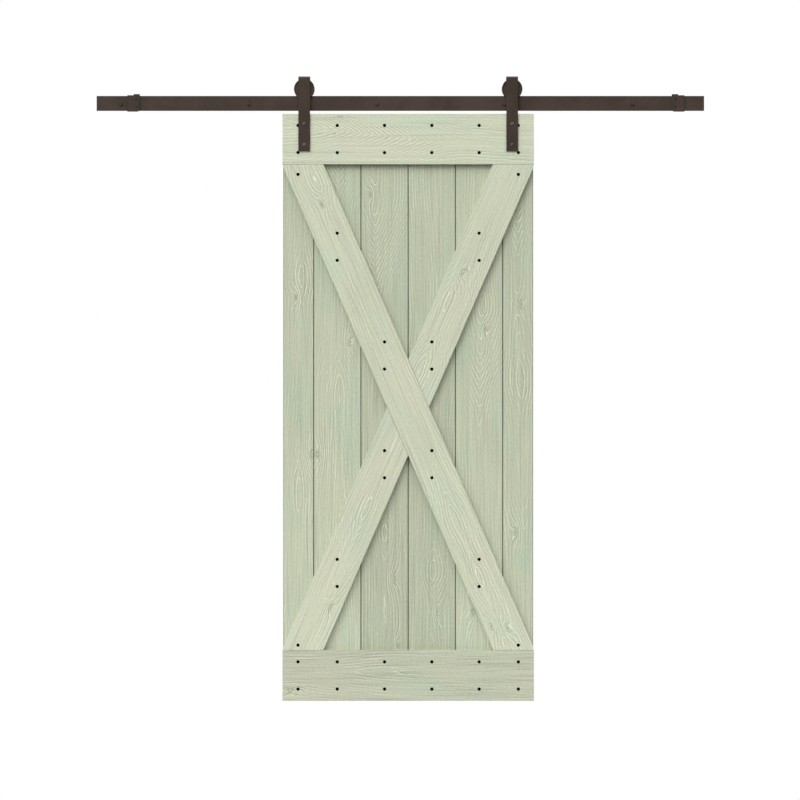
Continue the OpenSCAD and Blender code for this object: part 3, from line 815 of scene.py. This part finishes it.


# One entry per board. Seed picks its noise. The log's heart lies at pith off the board's middle and
# drifts to one side; depth is how deep it runs, and wave, ramps (from, to, rise) and crowns (place,
# spread, rise) change that along the board. Knots are (place, off the middle, size). Shade is the
# paint's brightness with painted shade in it, the bottom board darker and the top board lighter; fade
# is its change per metre up the board, painted shade darker towards the lower end. Lengths are in metres.
boardLooks = {
    "plank_1": {
        "seed": 1, "pith": 0.005, "drift": 0.01, "depth": 0.040,
        "wave": 0.026, "shade": 0.98, "paintedShadeSlope": 0.00,
        "ramps": [(-1.0, 1.0, 0.080)],
        "crowns": [(0.47, 0.08, -0.016), (-0.30, 0.11, -0.016)],
        "knots": [(0.401, -0.008, 0.016), (-0.172, 0.046, 0.020)],
    },
    "plank_2": {
        "seed": 2, "pith": 0.012, "drift": -0.01, "depth": 0.044,
        "wave": 0.026, "shade": 1.00, "paintedShadeSlope": 0.00,
        "ramps": [(0.70, 1.00, -0.090), (-0.9, 0.6, 0.080)],
        "crowns": [(0.06, 0.10, -0.016), (0.86, 0.08, 0.006)],
        "knots": [(0.235, 0.043, 0.016), (-0.172, -0.070, 0.020)],
    },
    "plank_3": {
        "seed": 3, "pith": -0.016, "drift": -0.03, "depth": 0.046,
        "wave": 0.018, "shade": 0.91, "paintedShadeSlope": 0.10,
        "ramps": [(0.38, 0.78, -0.110), (-0.9, 0.2, 0.060)],
        "crowns": [(-0.44, 0.08, -0.018), (0.62, 0.14, 0.004), (0.46, 0.10, 0.004)],
        "knots": [(0.775, -0.050, 0.016), (-0.624, 0.035, 0.019), (-0.868, 0.047, 0.014)],
    },
    "plank_4": {
        "seed": 4, "pith": 0.016, "drift": 0.02, "depth": 0.048,
        "wave": 0.022, "shade": 0.92, "paintedShadeSlope": 0.09,
        "ramps": [(-0.3, 1.0, -0.060)],
        "crowns": [(-0.60, 0.07, -0.020), (0.18, 0.10, -0.016)],
        "knots": [(-0.745, 0.020, 0.014)],
    },
    "plank_5": {
        "seed": 5, "pith": 0.004, "drift": 0.02, "depth": 0.046,
        "wave": 0.020, "shade": 0.99, "paintedShadeSlope": 0.00,
        "ramps": [(-0.08, 0.30, -0.090), (-1.0, -0.2, 0.040)],
        "crowns": [(0.36, 0.07, -0.016), (0.10, 0.13, 0.004)],
        "knots": [(0.281, 0.022, 0.018), (-0.745, -0.020, 0.020)],
    },
    "plank_6": {
        "seed": 6, "pith": 0.012, "drift": -0.02, "depth": 0.044,
        "wave": 0.024, "shade": 0.96, "paintedShadeSlope": 0.00,
        "ramps": [(0.50, 0.90, -0.080), (-1.0, 0.3, -0.060)],
        "crowns": [(0.10, 0.09, -0.016), (0.70, 0.12, 0.004)],
        "knots": [(0.375, 0.010, 0.020), (-0.455, -0.007, 0.020)],
    },
    "top_rail_board": {
        "seed": 7, "pith": -0.007, "drift": 0.091, "depth": 0.006,
        "wave": 0.010, "shade": 1.04, "paintedShadeSlope": 0.00,
        "ramps": [(-0.48, 0.24, 0.200)],
        "crowns": [(-0.24, 0.10, -0.004), (-0.04, 0.12, -0.006)],
        "knots": [(-0.249, -0.081, 0.010)],
    },
    "bottom_rail_board": {
        "seed": 8, "pith": -0.010, "drift": 0.02, "depth": 0.044,
        "wave": 0.024, "shade": 0.79, "paintedShadeSlope": 0.00,
        "ramps": [(-0.5, 0.5, -0.050)],
        "crowns": [(-0.12, 0.12, -0.010)],
        "knots": [(-0.428, 0.050, 0.018)],
    },
    "long_brace": {
        "seed": 9, "pith": 0.004, "drift": 0.02, "depth": 0.042,
        "wave": 0.020, "shade": 0.98, "paintedShadeSlope": 0.03,
        "ramps": [(-1.0, 1.0, 0.060)],
        "crowns": [(0.88, 0.08, -0.018), (-0.45, 0.10, -0.018), (-0.66, 0.08, -0.018)],
        "knots": [(0.802, 0.006, 0.017), (-0.851, -0.041, 0.013), (-0.880, 0.010, 0.015)],
    },
    "upper_brace": {
        "seed": 10, "pith": -0.014, "drift": -0.02, "depth": 0.044,
        "wave": 0.022, "shade": 1.00, "paintedShadeSlope": 0.00,
        "ramps": [(-0.2, 1.0, 0.080)],
        "crowns": [(0.44, 0.08, -0.016), (0.16, 0.09, -0.018)],
        "knots": [(0.528, -0.016, 0.015)],
    },
    "lower_brace": {
        "seed": 11, "pith": 0.010, "drift": 0.01, "depth": 0.044,
        "wave": 0.022, "shade": 0.96, "paintedShadeSlope": 0.00,
        "ramps": [(-1.0, 0.0, -0.070)],
        "crowns": [(-0.42, 0.10, -0.018)],
        "knots": [(-0.780, 0.030, 0.019)],
    },
}

frontLayer = {
    "front": doorFront, "bevel": boardSize["bevel"], "base": pinePaint["boards"],
    "edge": pinePaint["edge"], "slot": "front_boards",
}
plankLayer = {
    "front": plankFront, "bevel": plankSize["bevel"], "base": pinePaint["planks"],
    "edge": pinePaint["joint"], "slot": "planks",
}


def finishBoard(piece, node, layer, centre, alongAxis, halfWidth):
    material = pineMaterial(piece.name + "Paint", boardLooks[node], layer, centre, alongAxis, halfWidth)
    handOver(piece, material, layer["slot"], node)


def modelPlank(number):
    node = "plank_" + str(number)
    s = plankSize
    low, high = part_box(node)
    first = number == 1
    last = number == 6
    right = high.x if last else high.x - s["tongueLength"]
    back = high.y
    middle = (plankFront + back) / 2
    middleX = (low.x + right) / 2
    tongue = s["tongueThickness"] / 2
    groove = tongue + s["clearance"]
    grooveEnd = low.x + s["tongueLength"] + s["clearance"] - s["gap"]
    piece = addSheet(
        "plank" + str(number), (middleX, middle, low.z), right - low.x, back - plankFront
    )
    startEdit(piece)
    for y in (middle - tongue, middle + tongue, middle - groove, middle + groove):
        sawCut((0, y, low.z), (0, 1, 0))
    if not last:
        pick(piece, "EDGE", lambda e: middleOf(e).x > right - hair and abs(middleOf(e).y - middle) < tongue)
        bpy.ops.mesh.extrude_edges_move(TRANSFORM_OT_translate={"value": (s["tongueLength"], 0, 0)})
    if not first:
        sawCut((grooveEnd, 0, low.z), (1, 0, 0))
        pick(piece, "FACE", lambda f: middleOf(f).x < grooveEnd and abs(middleOf(f).y - middle) < groove)
        bpy.ops.mesh.delete(type="FACE")
    reach = (right - low.x) / 2 - hair
    pick(piece, "VERT", lambda v: v.co.y < plankFront + hair and abs(v.co.x - middleX) > reach)
    bpy.ops.mesh.bevel(offset=s["bevel"], segments=2, affect="VERTICES")
    bpy.ops.mesh.select_all(action="SELECT")
    bpy.ops.mesh.extrude_region_move(TRANSFORM_OT_translate={"value": (0, 0, high.z - low.z)})
    bpy.ops.mesh.select_all(action="SELECT")
    bpy.ops.mesh.dissolve_limited(angle_limit=radians(0.5))
    stopEdit()
    ease(piece, boardSize["ease"])
    drill(piece, low, Vector((right, back, high.z)), sum(screwPlaces.values(), []), True)
    centre = Vector((middleX, 0, fieldMid))
    finishBoard(piece, node, plankLayer, centre, (0, 1), (right - low.x) / 2)


def bevelFront(piece, shortest):         # rounds the long edges of a board's front
    startEdit(piece)
    pick(piece, "EDGE", lambda e: e.calc_length() > shortest and middleOf(e).y < doorFront + hair)
    bpy.ops.mesh.bevel(offset=boardSize["bevel"], segments=3, affect="EDGES")


def modelRailBoard(name, node, boltsToo):
    low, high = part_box(node)
    piece = addBox(name, low, high)
    bevelFront(piece, 0.5)
    stopEdit()
    ease(piece, boardSize["ease"])
    drill(piece, low, high, screwPlaces[node.replace("board", "screws")], boltsToo)
    finishBoard(piece, node, frontLayer, (low + high) / 2, (1, 0), (high.z - low.z) / 2)


def braceLean():                         # from upright, so that the outer edge runs from toe to toe
    fieldHeight = longHigh.z - longLow.z + 2 * boardSize["seatGap"]
    halfWidth = (longHigh.x - longLow.x) / 2
    rise = fieldHeight / 2 - boardSize["braceToe"]
    return acos(boardSize["braceWidth"] / 2 / sqrt(halfWidth ** 2 + rise ** 2)) - atan2(rise, halfWidth)


def modelBrace(name, node, lean):
    low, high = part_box(node)
    half = boardSize["braceWidth"] / 2
    run = longHigh.z - longLow.z
    piece = addBox(
        name, (doorX - half, doorFront, fieldMid - run), (doorX + half, plankFront, fieldMid + run), lean
    )
    bevelFront(piece, 1.0)
    sawCut(low, (-1, 0, 0), clear_outer=True)
    sawCut(high, (1, 0, 0), clear_outer=True)
    sawCut(low, (0, 0, -1), clear_outer=True)
    sawCut(high, (0, 0, 1), clear_outer=True)
    if node != "long_brace":             # the short braces butt the long one
        side = 1 if node == "upper_brace" else -1
        outward = Vector((cos(lean), 0, sin(lean))) * side
        edge = Vector((doorX, 0, fieldMid)) + outward * (half + boardSize["buttGap"])
        sawCut(edge, -outward, clear_outer=True)
    stopEdit()
    ease(piece, boardSize["ease"])
    drill(piece, low, high, screwPlaces[node + "_screws"], False)
    centre = Vector((doorX, 0, fieldMid))
    finishBoard(piece, node, frontLayer, centre, (sin(lean), cos(lean)), half)


for number in range(1, 7):
    modelPlank(number)
modelRailBoard("topBoard", "top_rail_board", True)
modelRailBoard("bottomBoard", "bottom_rail_board", False)
lean = braceLean()
modelBrace("longBrace", "long_brace", -lean)
modelBrace("upperBrace", "upper_brace", lean)
modelBrace("lowerBrace", "lower_brace", lean)
discard(holeCutter)
print("boards done")


# The rail and what holds it to the wall

railSize = {"ease": 0.8 * mm, "boltHoleRadius": 4.3 * mm}
wallBoltSize = {
    "acrossFlats": 13 * mm,
    "headHeight": 5.3 * mm,
    "dishRadius": 4.8 * mm,
    "shankRadius": 4 * mm,
    "rootRadius": 2.7 * mm,
    "crestRadius": 3.8 * mm,
    "pitch": 3.4 * mm,
    "tip": 7 * mm,
    "runOut": 0.8 * mm,
}
spacerSize = {"chamfer": 0.6 * mm}

railLow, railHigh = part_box("rail")
wallBolts = centres("rail_wall_bolts")


def modelRail():
    piece = addBox("flatRail", railLow, railHigh)
    ease(piece, railSize["ease"], 3)
    bores = []
    for bolt in wallBolts:
        bores.append(boreAt(railSize["boltHoleRadius"], -0.01, 0.02, bolt.x, railLow.y, bolt.z))
    carve(piece, joinAll("bores", bores))
    handOver(piece, bronze, "bronze_steel", "rail")


def modelWallBolt():
    s = wallBoltSize
    shank = -railLow.y                   # the wall stands at y = 0
    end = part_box("rail_wall_bolts")[1].y - railLow.y
    head = chamferedHex("head", s["acrossFlats"], 0, s["headHeight"], False)
    head.data.transform(Matrix.Rotation(pi, 4, "X"))
    top = -s["headHeight"]
    dish = s["dishRadius"]
    carve(head, turn("dish", [(dish + mm, top - mm), (dish - 0.4 * mm, top + 0.4 * mm)], 48))
    threadStart = shank + s["runOut"]
    core = turn("core", [
        (s["shankRadius"], -0.5 * mm), (s["shankRadius"], shank), (s["rootRadius"], threadStart),
        (s["rootRadius"], end - s["tip"]), (0.4 * mm, end)
    ], 32)
    thread = threadRidge(
        "thread", s["rootRadius"], s["crestRadius"], s["pitch"], threadStart, end - s["tip"], 24
    )
    return joinAll("wallBolt", [core, head, thread])


def modelSpacer(number):
    node = "wall_spacer_" + str(number)
    low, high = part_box(node)
    piece = modelRing(
        "wallSpacer" + str(number), (high.x - low.x) / 2, railSize["boltHoleRadius"], high.y - low.y,
        spacerSize["chamfer"], 64
    )
    piece.data.transform(intoWall((low.x + high.x) / 2, low.y, (low.z + high.z) / 2))
    handOver(piece, bronze, "bronze_steel", node)


modelRail()
wallBolt = modelWallBolt()
copies = []
for i, place in enumerate(wallBolts):
    copies.append(copyOf(wallBolt, "wallBolt" + str(i), intoWall(place.x, railLow.y, place.z)))
handOver(joinAll("wallBolts", copies), bronze, "bronze_steel", "rail_wall_bolts")
discard(wallBolt)
for number in range(1, 6):
    modelSpacer(number)
print("rail done")


# The end stops, from merged copies of the frame's own solids

stopSize = {"ease": 0.7 * mm, "bumperEase": 0.9 * mm, "screwEase": 0.25 * mm}


def softenedCopy(name, node, width, segments=3):
    piece = copyOf(frame["nodes"][node], name)
    piece.parent = None
    for key in list(piece.keys()):
        del piece[key]
    startEdit(piece)
    bpy.ops.mesh.remove_doubles(threshold=weld)
    bpy.ops.mesh.dissolve_limited(angle_limit=radians(1))
    stopEdit()
    ease(piece, width, segments)
    return piece


for side in ("left", "right"):
    body = softenedCopy(side + "Stop", side + "_stop_body", stopSize["ease"])
    handOver(body, bronze, "bronze_steel", side + "_stop_body")
    bumper = softenedCopy(side + "Bumper", side + "_stop_bumper", stopSize["bumperEase"])
    handOver(bumper, rubber, "rubber", side + "_stop_bumper")
    screws = softenedCopy(side + "SetScrews", side + "_stop_set_screws", stopSize["screwEase"], 2)
    handOver(screws, black, "black_screws", side + "_stop_set_screws")
print("stops done")


# The hangers

strapSize = {"thickness": 5 * mm, "bend": 4 * mm, "rearLegEnd": 31 * mm, "ease": 0.7 * mm}
strapBoltSize = {
    "headRadius": 6.5 * mm,
    "headHeight": 4 * mm,
    "shankRadius": 4 * mm,
    "rootRadius": 3.5 * mm,
    "pitch": 1.25 * mm,
    "socketFlats": 4 * mm,
    "socketDepth": 2.2 * mm,
    "threadLength": 12 * mm,
    "runOut": 0.4 * mm,                  # where the shank narrows to the thread's root
}
axleSize = {
    "headRadius": 9.5 * mm,
    "radius": 5 * mm,
    "rootRadius": 4.4 * mm,
    "pitch": 1.5 * mm,
    "socketFlats": 5 * mm,
    "socketDepth": 2.2 * mm,
    "threadLength": 9 * mm,
    "runOut": 0.5 * mm,
    "clearance": 0.1 * mm,               # round its head and shank in the strap
}
nutClearance = 0.05 * mm


def modelStrap(side):
    node = side + "_hanger_strap"
    low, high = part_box(node)
    x = (low.x + high.x) / 2
    t = strapSize["thickness"]
    reach = strapSize["bend"] + t
    bendStart = high.z - reach
    axleZ = sum(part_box(side + "_axle_nut"), Vector()).z / 2
    piece = addSheet(
        side + "Strap", (x, low.y, (low.z + bendStart) / 2), high.x - low.x, bendStart - low.z, pi / 2
    )
    startEdit(piece)
    pick(piece, "EDGE", lambda e: middleOf(e).z > bendStart - hair)
    bpy.ops.mesh.spin(steps=10, angle=pi / 2, center=(x, low.y + reach, bendStart), axis=(1, 0, 0))
    bpy.ops.mesh.extrude_edges_move(TRANSFORM_OT_translate={"value": (0, high.y - low.y - 2 * reach, 0)})
    bpy.ops.mesh.spin(steps=10, angle=pi / 2, center=(x, high.y - reach, bendStart), axis=(1, 0, 0))
    bpy.ops.mesh.extrude_edges_move(
        TRANSFORM_OT_translate={"value": (0, 0, strapSize["rearLegEnd"] - bendStart)}
    )
    stopEdit()
    wall = piece.modifiers.new("wall", "SOLIDIFY")
    wall.thickness = t
    wall.offset = -1
    applyAll(piece)
    ease(piece, strapSize["ease"], 3)
    cutters = []
    for bolt in centres(side + "_hanger_bolts"):
        cutters.append(boreAt(boltHoleRadius, -0.01, 0.02, x, low.y, bolt.z))
    sink = axleSize["headRadius"] - axleSize["radius"]
    seat = axleSize["headRadius"] + axleSize["clearance"]
    hole = axleSize["radius"] + axleSize["clearance"]
    bore = turn("bore", [(seat + mm, -mm), (hole, sink), (hole, 0.06)], 48)
    bore.data.transform(intoWall(x, low.y, axleZ))
    cutters.append(bore)
    carve(piece, joinAll("cutters", cutters))
    handOver(piece, strapBronze, "bronze_steel", node)


def modelStrapBolt(length):              # domed head towards -Z, shank along +Z
    s = strapBoltSize
    dome = (s["headRadius"] ** 2 + s["headHeight"] ** 2) / (2 * s["headHeight"])
    outline = []
    for step in range(9):
        radius = max(s["headRadius"] * step / 8, 0.6 * mm)
        outline.append((radius, dome - s["headHeight"] - sqrt(dome ** 2 - radius ** 2)))
    threadStart = length - s["threadLength"]
    outline += [(s["shankRadius"], 0), (s["shankRadius"], threadStart)]
    outline += [(s["rootRadius"], threadStart + s["runOut"]), (s["rootRadius"], length)]
    bolt = turn("strapBolt", outline, 40)
    top = -s["headHeight"]
    carve(bolt, hexBar("socket", s["socketFlats"], top - mm, top + s["socketDepth"]))
    thread = threadRidge(
        "thread", s["rootRadius"], s["shankRadius"], s["pitch"], threadStart + s["runOut"], length
    )
    return joinAll("strapBolt", [bolt, thread])


def modelAxleBolt(length):
    s = axleSize
    sink = s["headRadius"] - s["radius"]
    rim = 0.3 * mm
    threadStart = length - s["threadLength"]
    bolt = turn("axleBolt", [
        (s["headRadius"] - rim, 0), (s["headRadius"] - rim, rim), (s["radius"], sink),
        (s["radius"], threadStart), (s["rootRadius"], threadStart + s["runOut"]), (s["rootRadius"], length)
    ], 48)
    carve(bolt, hexBar("socket", s["socketFlats"], -mm, s["socketDepth"]))
    thread = threadRidge(
        "thread", s["rootRadius"], s["radius"], s["pitch"], threadStart + s["runOut"], length, 24
    )
    return joinAll("axleBolt", [bolt, thread])


def modelNut(name, acrossFlats, height, bore):
    nut = chamferedHex(name, acrossFlats, 0, height)
    mouth = 0.5 * mm
    carve(nut, turn("bore", [
        (bore + mouth + mm, -mm), (bore, mouth), (bore, height - mouth), (bore + mouth + mm, height + mm)
    ], 40))
    return nut


def placeCopies(model, name, node, material, slot):
    boxes = partBoxes(node)
    copies = []
    for i, (low, high) in enumerate(boxes):
        spot = intoWall((low.x + high.x) / 2, low.y, (low.z + high.z) / 2)
        copies.append(copyOf(model, name + str(i), spot))
    handOver(joinAll(name, copies), material, slot, node)


def modelHangerHardware(side):
    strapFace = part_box(side + "_hanger_strap")[0].y
    bolt = modelStrapBolt(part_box(side + "_hanger_bolts")[1].y - strapFace)
    copies = []
    for i, place in enumerate(centres(side + "_hanger_bolts")):
        copies.append(copyOf(bolt, "bolt" + str(i), intoWall(place.x, strapFace, place.z)))
    # the strap bolts take the lighter coat, a painted highlight on their heads
    handOver(joinAll(side + "StrapBolts", copies), paintedHighlightBronze, "bronze_steel", side + "_hanger_bolts")
    low, high = partBoxes(side + "_back_washers")[0]
    washer = modelRing("washer", (high.x - low.x) / 2, boltHoleRadius, high.y - low.y, 0.2 * mm)
    placeCopies(washer, side + "BackWashers", side + "_back_washers", zinc, "bright_steel")
    low, high = partBoxes(side + "_back_nuts")[0]
    flats = min(high.x - low.x, high.z - low.z)
    nut = modelNut("nut", flats, high.y - low.y, strapBoltSize["shankRadius"] + nutClearance)
    placeCopies(nut, side + "BackNuts", side + "_back_nuts", zinc, "bright_steel")
    low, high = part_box(side + "_axle_bolt")
    axle = modelAxleBolt(high.y - low.y)
    placeCopies(axle, side + "AxleBolt", side + "_axle_bolt", bronze, "bronze_steel")
    low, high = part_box(side + "_axle_nut")
    flats = min(high.x - low.x, high.z - low.z)
    axleNut = modelNut("axleNut", flats, high.y - low.y, axleSize["radius"] + nutClearance)
    placeCopies(axleNut, side + "AxleNut", side + "_axle_nut", bronze, "bronze_steel")
    low, high = partBoxes(side + "_axle_sleeves")[0]
    bore = axleSize["radius"] + nutClearance
    sleeve = modelRing("sleeve", (high.x - low.x) / 2, bore, high.y - low.y, 0.3 * mm)
    placeCopies(sleeve, side + "AxleSleeves", side + "_axle_sleeves", zinc, "bright_steel")
    for model in (bolt, washer, nut, axle, axleNut, sleeve):
        discard(model)


# The wheels: two flanges, a groove for the rail, dished faces and a seat for the bearing

wheelSize = {
    "treadRadius": 24.7 * mm,
    "groove": 8 * mm,
    "rim": 4 * mm,
    "dish": 2 * mm,
    "hubRadius": 18 * mm,
    "seatRadius": 15.02 * mm,
    "lipRadius": 13.5 * mm,
    "seatEnd": 4.5 * mm,
    "edge": 1 * mm,
    "ease": 0.3 * mm,
}


def modelWheel(side):
    node = side + "_wheel"
    low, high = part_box(node)
    s = wheelSize
    flange = (high.x - low.x) / 2
    half = (high.y - low.y) / 2
    groove = s["groove"] / 2
    edge = s["edge"]
    dish = s["dish"]
    rim = flange - s["rim"]
    piece = turn(side + "Wheel", [
        (s["lipRadius"], s["seatEnd"]), (s["seatRadius"], s["seatEnd"]), (s["seatRadius"], -half),
        (s["hubRadius"], -half), (s["hubRadius"] + dish, dish - half), (rim - dish, dish - half),
        (rim, -half), (flange - edge, -half), (flange, edge - half),
        (flange, -groove - edge), (flange - edge, -groove),
        (s["treadRadius"], -groove), (s["treadRadius"], groove),
        (flange - edge, groove), (flange, groove + edge),
        (flange, half - edge), (flange - edge, half),
        (rim, half), (rim - dish, half - dish), (s["hubRadius"] + dish, half - dish),
        (s["hubRadius"], half), (s["lipRadius"], half)
    ], 96, closed=True)
    ease(piece, s["ease"], 2, 20)
    piece.data.transform(intoWall((low.x + high.x) / 2, (low.y + high.y) / 2, (low.z + high.z) / 2))
    handOver(piece, bronze, "bronze_steel", node, smooth=30)


for side in ("left", "right"):
    modelStrap(side)
    modelHangerHardware(side)
    modelWheel(side)
    refinish(bearingSteel, side + "_inner_ring", side + "_outer_ring", side + "_bearing_balls")
    refinish(rubber, side + "_bearing_seals")
print("hangers done")


# Floor, light and camera

studio = {
    "floorZ": -2.85,
    "floorRadius": 2.3,
    "fill": 0.05,                        # light from below and from the sides
    "sky": 2.06,                         # light from above
    "skyLean": 0.30,                     # how far the sky leans to the left
    "dusk": 0.02,                        # heights between which the sky comes up
    "dawn": 0.34,
    "keyPower": 420,
    "keySize": 5,
    "keyPlace": (-4.6, -7.2, 7.4),
    "keyColour": (1.0, 0.985, 0.96),
    "floorDark": colour(0.44, 0.44, 0.435),
    "floorLight": colour(0.48, 0.48, 0.475),
    "floorGrain": 30,
    "floorRelief": 0.1 * mm,
    "floorRoughness": 0.8,
    "frameWidth": 2.908,                 # how much of the door's front plane the frame takes in
    "lens": 150,
    "sensor": 36,
    "eyeX": 0.0857,
    "eyeZ": -1.0791,
}


def layFloor():
    bpy.ops.object.select_all(action="DESELECT")
    bpy.ops.mesh.primitive_circle_add(
        vertices=96, radius=studio["floorRadius"], location=(doorX, 0, studio["floorZ"]), fill_type="NGON"
    )
    floor = settle(bpy.context.object, "floor")
    material, tree, (x, y, z) = newMaterial("paleFloor")
    fine = studio["floorGrain"]
    grainy = noise(tree, x * fine, y * fine, z * fine)
    paint = mixColours(grainy, studio["floorDark"], studio["floorLight"])
    finishMaterial(
        tree, grainy, studio["floorRelief"], Base_Color=paint, Roughness=studio["floorRoughness"]
    )
    floor.data.materials.append(material)


def lightStudio():
    scene = bpy.context.scene
    scene.world = bpy.data.worlds.new("studio")
    scene.world.use_nodes = True
    tree = scene.world.node_tree
    tree.nodes.clear()
    seen = addNode(tree, "ShaderNodeLightPath", {}, {})
    way = addNode(tree, "ShaderNodeTexCoord", {}, {})
    x, z = (addNode(tree, "ShaderNodeSeparateXYZ", {}, {0: way}, i) for i in (0, 2))
    height = z - x * studio["skyLean"]
    light = smoothStep(height, studio["dusk"], studio["dawn"], studio["fill"], studio["sky"])
    strength = seen * (1 - light) + light
    shader = addNode(tree, "ShaderNodeBackground", {}, {"Color": colour(1, 1, 1), "Strength": strength})
    addNode(tree, "ShaderNodeOutputWorld", {}, {"Surface": shader})
    lamp = bpy.data.lights.new("key", "AREA")
    lamp.energy = studio["keyPower"]
    lamp.size = studio["keySize"]
    lamp.color = studio["keyColour"]
    key = bpy.data.objects.new("key", lamp)
    key.location = studio["keyPlace"]
    aim = Vector((doorX, 0, fieldMid)) - Vector(studio["keyPlace"])
    key.rotation_euler = aim.to_track_quat("-Z", "Y").to_euler()
    scene.collection.objects.link(key)
    scene.view_settings.view_transform = "Standard"


def placeCamera():
    lens = bpy.data.cameras.new("camera")
    lens.lens = studio["lens"]
    lens.sensor_width = studio["sensor"]
    camera = bpy.data.objects.new("camera", lens)
    distance = studio["frameWidth"] * lens.lens / lens.sensor_width
    camera.location = (studio["eyeX"], doorFront - distance, studio["eyeZ"])
    camera.rotation_euler = (pi / 2, 0, 0)
    bpy.context.scene.collection.objects.link(camera)
    bpy.context.scene.camera = camera


layFloor()
lightStudio()
placeCamera()
